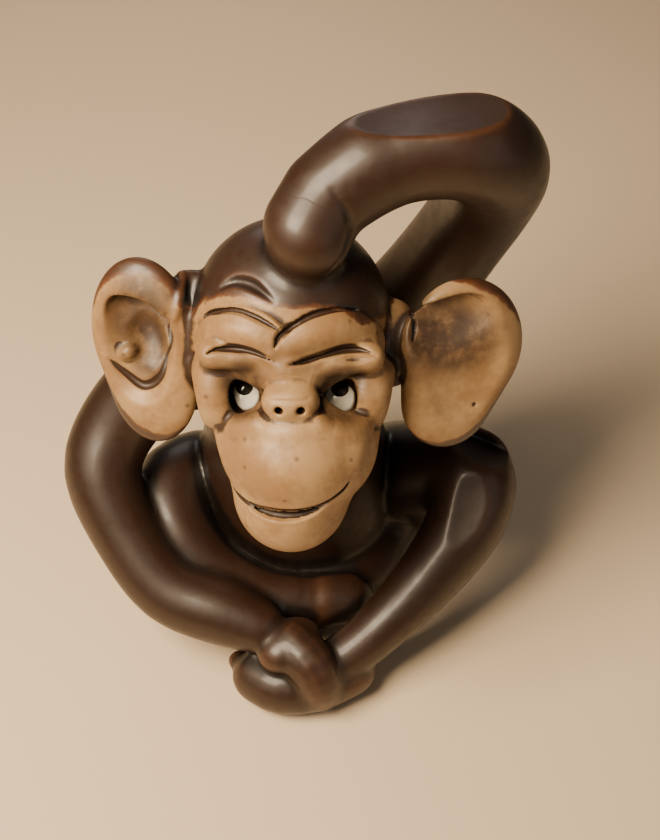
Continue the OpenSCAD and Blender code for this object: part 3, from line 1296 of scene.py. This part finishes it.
@dataclass
class Face:
    """The pale face: brow folds, eye sockets, nose, muzzle and mouth."""

    board: Board
    outline: Outline = Outline((
        (-14.6, -1.0), (-12.6, 1.2), (-9.7, 1.7), (-5.8, 1.4), (-1.7, 0.0), (3.0, -0.3), (6.4, -0.2),
        (8.6, -1.0), (10.0, -2.3), (12.1, -2.3), (13.4, -1.2), (15.2, -1.0), (16.5, -6.0), (16.0, -14.0),
        (14.0, -22.0), (8.0, -34.0), (0.0, -39.0), (-8.0, -34.0), (-13.0, -24.0), (-14.5, -14.0),
        (-15.5, -6.0),
    ))

    def work(self, clay: Clay) -> None:
        """Models the face.

        Args:
            clay: The clay to work.
        """
        self._sockets(clay)
        self._brow(clay)
        self._nose(clay)
        self._mouth(clay)
        self._wrinkles(clay)

    def _line(self, clay: Clay, spots: Spots, how: Touch, lift: float, blend: float) -> None:
        """Draws one line on the face."""
        clay.draw(Bench.FACE, spots, how, lift, blend, self.board)

    def _groove(self, clay: Clay, spots: Spots) -> None:
        """Cuts a groove with a thinner one at its bottom."""
        self._line(clay, [(a, b, 1.35 * r) for a, b, r in spots], Touch.PRESS, 0.05, 0.3)
        self._line(clay, [(a, b, 0.7 * r) for a, b, r in spots], Touch.PRESS, -0.25, 0.1)

    def _sockets(self, clay: Clay) -> None:
        """Sinks the eyes, and smooths the cheeks down to the muzzle.

        Args:
            clay: The clay to work.
        """
        self._line(clay, [(-12.2, -5.2, 0.8), (-11.6, -8.6, 1.5), (-10.8, -12.0, 0.8)], Touch.ADD, -1.0, 2.2)
        self._line(clay, [(13.2, -5.4, 0.8), (12.6, -9.0, 1.5), (11.6, -12.4, 0.8)], Touch.ADD, -1.0, 2.2)
        for side, wide in ((-10.6, 1.7), (11.3, 1.6)):
            self._line(clay, [(side, -10.5, 0.8), (side, -14.0, wide), (0.95 * side, -18.0, wide),
                              (0.9 * side, -22.0, 0.8)], Touch.ADD, -1.1, 2.5)
        self._line(clay, [(-10.0, -15.6, 0.7), (-7.6, -16.8, 1.2), (-5.0, -16.6, 0.8)], Touch.ADD, -0.5, 1.8)
        self._line(clay, [(4.8, -16.8, 0.8), (8.2, -17.6, 1.2), (11.6, -16.4, 0.7)], Touch.ADD, -0.5, 1.8)
        clay.dab(self.board, (-6.8, -12.3), (2.9, 3.1, 3.4), Touch.PRESS, 1.3, -6, 0.6)
        clay.dab(self.board, (7.7, -12.5), (3.2, 3.2, 3.4), Touch.PRESS, 1.3, 4, 0.6)

    def _brow(self, clay: Clay) -> None:
        """Pads the folds between the wrinkle rows, low and broad.

        Args:
            clay: The clay to work.
        """
        self._line(clay, [(-11.6, -3.6, 0.8), (-8.5, -3.2, 1.3), (-5, -4.2, 1.2), (-2.6, -5.9, 0.8)],
                   Touch.ADD, -0.8, 2.0)
        self._line(clay, [(0.4, -5.8, 0.8), (3.4, -4.2, 1.2), (7.4, -3.3, 1.3), (12, -3.8, 0.8)],
                   Touch.ADD, -0.8, 2.0)
        self._line(clay, [(-2.6, -7.4, 0.8), (-0.8, -8.6, 1.0), (1.2, -8.4, 0.8)], Touch.ADD, -0.6, 1.2)

    def _nose(self, clay: Clay) -> None:
        """Steps the low nose, and opens the nostrils.

        Args:
            clay: The clay to work.
        """
        self._line(clay, [(-3.4, -10.6, 0.6), (-2.0, -9.9, 1.1), (0.3, -9.6, 1.2), (2.6, -9.9, 1.1),
                          (4.0, -10.6, 0.6)], Touch.ADD, -0.3, 2.2)
        self._line(clay, [(-3.0, -13.2, 0.1), (-1.6, -13.5, 0.2), (1.6, -13.5, 0.2), (3.0, -13.2, 0.1)],
                   Touch.PRESS, 0.05, 0.4)
        self._line(clay, [(-4.4, -16.4, 0.9), (-2.4, -17.2, 1.4), (0.3, -17.4, 1.5), (2.6, -17.2, 1.4),
                          (4.8, -16.4, 0.9)], Touch.ADD, -0.9, 1.6)
        for left in (-1.55, 1.5):
            at = self.board.touch(clay.blocks[Bench.FACE], np.array([[left, -14.7]]))[0]
            deep = at + 1.3 * self.board.inward
            clay.work(Rope(np.array([at, deep]), np.array([0.55, 0.4])), Touch.PRESS, 0.12)

    def _mouth(self, clay: Clay) -> None:
        """Cuts the smile, thickest in the middle.

        Args:
            clay: The clay to work.
        """
        smile = [
            (-9.0, -26.0, 0.2), (-7.9, -27.4, 0.45), (-5.3, -29.2, 0.7), (-2.6, -30.0, 1.0),
            (0.5, -30.2, 1.05), (3.2, -29.6, 0.9), (5.7, -28.3, 0.6), (7.8, -26.7, 0.4), (8.8, -25.4, 0.2),
        ]
        middle = smile[2:-2]
        self._line(clay, [(a, b, min(r, 0.5)) for a, b, r in smile], Touch.PRESS, -0.15, 0.25)
        self._line(clay, middle, Touch.PRESS, 0.4, 0.3)
        self._line(clay, [(a, b, 0.7 * r) for a, b, r in middle], Touch.PRESS, -0.6, 0.1)

    def _wrinkles(self, clay: Clay) -> None:
        """Cuts the rows of wrinkles over the eyes, and rounds out the lens in the forehead.

        Args:
            clay: The clay to work.
        """
        rows = [
            [(-12.6, -0.9, 0.2), (-11.0, -0.4, 0.46), (-7.8, -0.3, 0.52), (-5.3, -1.1, 0.52),
             (-2.9, -2.4, 0.45), (-1.2, -3.5, 0.2)],
            [(-1.9, -5.9, 0.2), (-1.2, -4.2, 0.46), (0.9, -2.6, 0.5), (3.4, -1.2, 0.54), (6.6, -0.3, 0.48),
             (10.0, -0.2, 0.2)],
            [(-11.8, -6.7, 0.2), (-10.4, -6.0, 0.4), (-7.8, -5.9, 0.46), (-5.0, -6.5, 0.44),
             (-2.0, -7.9, 0.2)],
            [(0.2, -8.3, 0.2), (2.4, -7.8, 0.42), (5.2, -6.9, 0.5), (7.8, -6.1, 0.52), (10.4, -6.0, 0.45),
             (12.6, -6.9, 0.2)],
        ]
        for spots in rows:
            self._groove(clay, spots)
        self._line(clay, [(-9.8, 3.2, 0.3), (-7.8, 3.9, 0.8), (-5.4, 3.3, 0.9), (-3.2, 1.7, 0.5),
                          (-2.2, 0.8, 0.2)], Touch.PRESS, 0.1, 0.5)
        self._line(clay, [(7.2, -7.6, 0.3), (9.4, -7.4, 0.8), (12.0, -7.4, 0.3)], Touch.PRESS, 0.2, 0.4)


@dataclass
class Eyes:
    """The white of each eye, set in its socket, and the black bead on it; lengths are in mm."""

    MARGIN = 0.6
    STEP = 0.12
    RIM = 0.25

    board: Board
    whites: dict[str, Outline] = field(default_factory=lambda: {
        "right_eye": Outline((
            (-8.7, -11.6), (-7.4, -10.6), (-5.6, -10.6), (-4.5, -11.6), (-4.5, -13.6), (-6.0, -15.2),
            (-7.8, -14.2),
        )),
        "left_eye": Outline((
            (4.7, -12.4), (5.9, -11.0), (8.6, -10.9), (9.8, -12.2), (9.6, -14.4), (8.2, -16.3),
            (6.0, -15.0),
        )),
    })
    beads: dict[str, tuple[float, float]] = field(default_factory=lambda: {
        "right_pupil": (-6.7, -11.5), "left_pupil": (7.5, -11.8),
    })
    white_radii: tuple[float, float, float] = (3.3, 3.5, 1.9)
    white_lift: float = 0.4
    bead_radii: tuple[float, float, float] = (1.45, 1.45, 1.0)
    bead_lift: float = 1.5

    def build(self, clay: Clay, white: bpy.types.Material, black: bpy.types.Material) -> None:
        """Makes the four pieces.

        Args:
            clay: The finished clay.
            white: The finish of the whites.
            black: The finish of the beads.
        """
        block = clay.blocks[Bench.HEAD]
        for (node, outline), (bead, mark) in zip(self.whites.items(), self.beads.items()):
            middle = np.mean(outline.spots, axis=0)
            ball = self._egg(block, middle, self.white_lift, self.white_radii)
            made = self._shell(block, ball, outline, "white_" + node, white)
            dress(made, node)
            pupil = self._egg(block, mark, self.bead_lift, self.bead_radii)
            made = self._shell(block, pupil, None, "bead_" + bead, black)
            dress(made, bead)

    def _egg(self, block: Block, mark: Array, lift: float, radii: tuple[float, float, float]) -> Egg:
        """Sets an egg on the face, lifted out of it."""
        at = self.board.touch(block, np.array([mark]))[0] - lift * self.board.inward
        return Egg(at, np.array(radii), self.board.axes())

    def _shell(
        self, block: Block, ball: Egg, outline: Outline | None, name: str, material: bpy.types.Material
    ) -> bpy.types.Object:
        """Wraps an egg, cut to an outline on the board.

        Args:
            block: The clay around it.
            ball: The egg.
            outline: The outline, or None to keep the whole egg.
            name: The object's name.
            material: Its finish.

        Returns:
            The object.
        """
        low, high = ball.box()
        low, high = low - self.MARGIN, high + self.MARGIN
        fine = Block.covering(low, high, self.STEP, 1.0)
        whole = fine.part(low, high)
        x, y, z = np.broadcast_arrays(*fine.lattice(whole))
        fine.d = ball.distance(x, y, z).astype(np.float32)
        if outline is not None:
            places = np.stack([x.ravel(), y.ravel(), z.ravel()], axis=1)
            rim = -outline.inside(self.board.read(places)).reshape(fine.d.shape)
            fine.d = -melt(-fine.d, -rim.astype(np.float32), self.RIM)
        skin = Skin.around(fine.d, fine.low, fine.step)
        skin.points = fine.settle(skin.points, 1)
        made = as_object(name, skin, material)
        out = fine.facing(skin.points)
        # Shelter: how close the clay stands in front of the enamel; the enamel finish paints shade by it.
        note(made, "shelter", 1 - np.clip(block.sample(skin.points + out), 0, 1))
        return made


@dataclass
class Ears:
    """The two dished ears."""

    board: Board

    def work(self, clay: Clay) -> None:
        """Models both ears."""
        self._right(clay)
        self._left(clay)

    def _strip(self, clay: Clay, spots: Spots, lift: float) -> None:
        """Lays a strip of clay that ties an ear to the head."""
        clay.draw(Bench.HEAD, spots, Touch.ADD, lift, 2.0, self.board)

    def _right(self, clay: Clay) -> None:
        """Hollows the right ear deep behind a rolled rim.

        Args:
            clay: The clay to work.
        """
        self._strip(clay, [(-14.2, -1.5, 1.2), (-13.8, -7.0, 2.0), (-12.6, -13.0, 2.0),
                           (-11.8, -19.0, 1.4)], -1.2)
        clay.dab(self.board, (-22.8, -2.0), (5.4, 6.8, 2.6), Touch.PRESS, 1.4, 8, 1.0)
        clay.dab(self.board, (-21.8, -4.6), (2.9, 4.8, 2.0), Touch.PRESS, 0.6, 12, 0.8)
        clay.dab(self.board, (-25.0, -5.6), (1.6, 1.2, 1.3), Touch.ADD, 0.0, 20, 0.8)
        clay.draw(Bench.HEAD, [(-18.4, -0.6, 0.4), (-18.6, -5.0, 0.7), (-20.2, -9.4, 0.75),
                               (-22.8, -10.8, 0.7), (-25.6, -8.9, 0.5), (-27.9, -7.0, 0.3)],
                  Touch.PRESS, 0.0, 0.4, self.board)
        clay.draw(Bench.HEAD, [(-17.2, 7.6, 0.3), (-16.2, 5.0, 0.6), (-16.4, 2.0, 0.6), (-17.2, -1.0, 0.3)],
                  Touch.ADD, 0.0, 0.8, self.board)

    def _left(self, clay: Clay) -> None:
        """Dishes the left ear and slits its root.

        Args:
            clay: The clay to work.
        """
        self._strip(clay, [(15.4, -1.5, 1.2), (15.0, -7.0, 1.8), (14.0, -13.0, 1.8),
                           (12.6, -19.0, 1.2)], -1.4)
        clay.dab(self.board, (25.4, -3.5), (7.4, 6.8, 2.6), Touch.PRESS, 1.0, -10, 1.0)
        clay.draw(Bench.HEAD, [(18.5, 0.2, 0.2), (18.9, -2.0, 0.45), (18.6, -4.2, 0.2)],
                  Touch.PRESS, -0.2, 0.2, self.board)
        clay.dab(self.board, (28.4, -13.8), (0.35, 0.35, 0.4), Touch.PRESS, 0.0, 0, 0.15)


@dataclass
class Limbs:
    """The hand-cut flats, ridges and creases of arms and legs."""

    def work(self, clay: Clay) -> None:
        """Models every limb."""
        self._raised_arm(clay)
        self._left_knee(clay)

    def _raised_arm(self, clay: Clay) -> None:
        """Runs the raised arm into its fist, shaves its top, and creases the wrist on one side.

        Args:
            clay: The clay to work.
        """
        wrist = np.array([[12.0, -4.0, 94.2], [6.0, -6.8, 90.8], [3.2, -9.6, 88.0]])
        clay.work(Rope(wrist, np.array([6.7, 6.3, 6.1])), Touch.ADD, 1.6)
        clay.shave(Bench.BODY, [(14, -2, 102.6), (28, -2, 102.6)], (0, 0.15, 1), 60, 1.6, 9)
        clay.draw(Bench.HEAD, [(7.0, -10.2, 95.0, 0.2), (8.6, -11.8, 92.4, 0.4), (9.4, -13.2, 89.6, 0.5),
                               (8.6, -15.0, 86.6, 0.5), (6.2, -16.0, 84.2, 0.3)], Touch.PRESS, 0.1, 0.5)

    def _left_knee(self, clay: Clay) -> None:
        """Shaves the planes of the left knee, and pads the thigh underneath.

        Args:
            clay: The clay to work.
        """
        clay.shave(Bench.BODY, [(29.5, -18.5, 29.5)], (-0.1, -0.6, 0.8), 50, 0.7, 8)
        clay.shave(Bench.BODY, [(32.5, -10.5, 35.0)], (0.35, 0.35, 0.87), 50, 0.5, 8)
        under = np.array([[14.0, 0.0, 8.0], [23.5, -2.5, 8.5], [26.0, -3.0, 12.0]])
        clay.work(Rope(under, np.array([6.0, 4.6, 4.6])), Touch.ADD, 3.0)


# ---- The room ----


@dataclass
class Studio:
    """A pale floor, soft lights and the camera."""

    target: tuple[float, float, float] = (6.5, -10.0, 45.0)
    lit: tuple[float, float, float] = (0.0, 0.0, 50.0)
    pitch: float = 50.0
    away: float = 230.0
    lens: float = 59.27

    def build(self) -> None:
        """Makes the whole room."""
        self._floor()
        self._camera()
        self._light("key", (-120, -100, 240), 140, 1.75, (1.0, 0.8, 0.56))
        self._light("fill", (190, -140, 150), 200, 0.06, (1.0, 0.9, 0.8))
        self._light("back", (-40, 230, 160), 120, 0.08, (1.0, 0.93, 0.86))
        world = bpy.data.worlds.new("room")
        world.use_nodes = True
        world.node_tree.nodes["Background"].inputs[0].default_value = (1.0, 0.93, 0.85, 1)
        world.node_tree.nodes["Background"].inputs[1].default_value = 0.06
        bpy.context.scene.world = world

    def _floor(self) -> None:
        """Lays the floor."""
        mesh = bpy.data.meshes.new("floor")
        side = 2.0
        corners = [(-side, -side, 0), (side, -side, 0), (side, side, 0), (-side, side, 0)]
        mesh.from_pydata(corners, [], [(0, 1, 2, 3)])
        floor = bpy.data.objects.new("floor", mesh)
        bpy.context.scene.collection.objects.link(floor)
        material, _, shader = start_material("pale_floor")
        shader.inputs["Base Color"].default_value = (0.76, 0.6, 0.42, 1)
        shader.inputs["Roughness"].default_value = 0.8
        mesh.materials.append(material)
        floor.location.z = -0.0003

    def _camera(self) -> None:
        """Sets the camera."""
        data = bpy.data.cameras.new("camera")
        data.lens = self.lens
        data.sensor_width = 36
        data.clip_start = 0.01
        camera = bpy.data.objects.new("camera", data)
        e = math.radians(self.pitch)
        back = Vector((0, -math.cos(e), math.sin(e)))
        camera.location = Vector(self.target) * MM + back * self.away * MM
        camera.rotation_euler = (-back).to_track_quat("-Z", "Y").to_euler()
        bpy.context.scene.collection.objects.link(camera)
        bpy.context.scene.camera = camera

    def _light(
        self, name: str, at: tuple[float, float, float], size: float, watts: float,
        tint: tuple[float, float, float],
    ) -> None:
        """Hangs one soft light that looks at the figure.

        Args:
            name: The light's name.
            at: Its place in mm.
            size: Its side in mm.
            watts: Its power.
            tint: Its colour.
        """
        data = bpy.data.lights.new(name, "AREA")
        data.energy = watts
        data.size = size * MM
        data.color = tint
        light = bpy.data.objects.new(name, data)
        light.location = Vector(at) * MM
        light.rotation_euler = (Vector(self.lit) - Vector(at)).to_track_quat("-Z", "Y").to_euler()
        bpy.context.scene.collection.objects.link(light)


PIECES = (
    Piece("torso_shell", "brown_glaze"),
    Piece("left_arm", "brown_glaze"),
    Piece("right_arm", "brown_glaze"),
    Piece("left_leg", "brown_glaze"),
    Piece("right_leg", "brown_glaze"),
    Piece("left_hand", "brown_glaze", Bench.HEAD),
    Piece("right_hand", "brown_glaze", Bench.LAP),
    Piece("left_foot", "brown_glaze", Bench.LAP),
    Piece("right_foot", "brown_glaze", Bench.LAP),
    Piece("head_shell", "brown_glaze", Bench.HEAD),
    Piece("brow_mask", "pale_bisque", Bench.FACE),
    Piece("muzzle", "pale_bisque", Bench.FACE),
    Piece("lower_jaw", "pale_bisque", Bench.FACE),
    Piece("nose_button", "pale_bisque", Bench.FACE),
    Piece("left_ear", "pale_bisque", Bench.HEAD),
    Piece("right_ear", "pale_bisque", Bench.HEAD),
)


def main() -> None:
    """Builds the figure and the room."""
    logging.basicConfig(level=logging.INFO, format="%(message)s")
    board = Board(cad_middle("head_shell"))
    clay = Clay()
    face = Face(board)
    face.work(clay)
    Ears(board).work(clay)
    Limbs().work(clay)
    kit = Kit.built()
    finishes = {
        "brown_glaze": PotteryFinish("brown_glaze", 0.22, 0.5).build(kit),
        "pale_bisque": PotteryFinish("pale_bisque", 0.3, 0.5).build(kit),
        # Each enamel's second colour is its painted shade under overhanging clay.
        "white_enamel": EnamelFinish(
            "white_enamel", (0.72, 0.7, 0.6, 1), (0.1, 0.06, 0.03, 1), 0.25
        ).build(kit),
        "black_enamel": EnamelFinish(
            "black_enamel", (0.012, 0.01, 0.008, 1), (0.03, 0.02, 0.01, 1), 0.12
        ).build(kit),
    }
    bare = BareClay(board, face.outline, {ear: cad_middle(ear) for ear in BARE_EARS})
    modeller = Modeller(clay)
    for piece in PIECES:
        modeller.build(piece, bare, finishes[piece.slot])
    Eyes(board).build(clay, finishes["white_enamel"], finishes["black_enamel"])
    Studio().build()


if __name__ == "__main__":
    main()
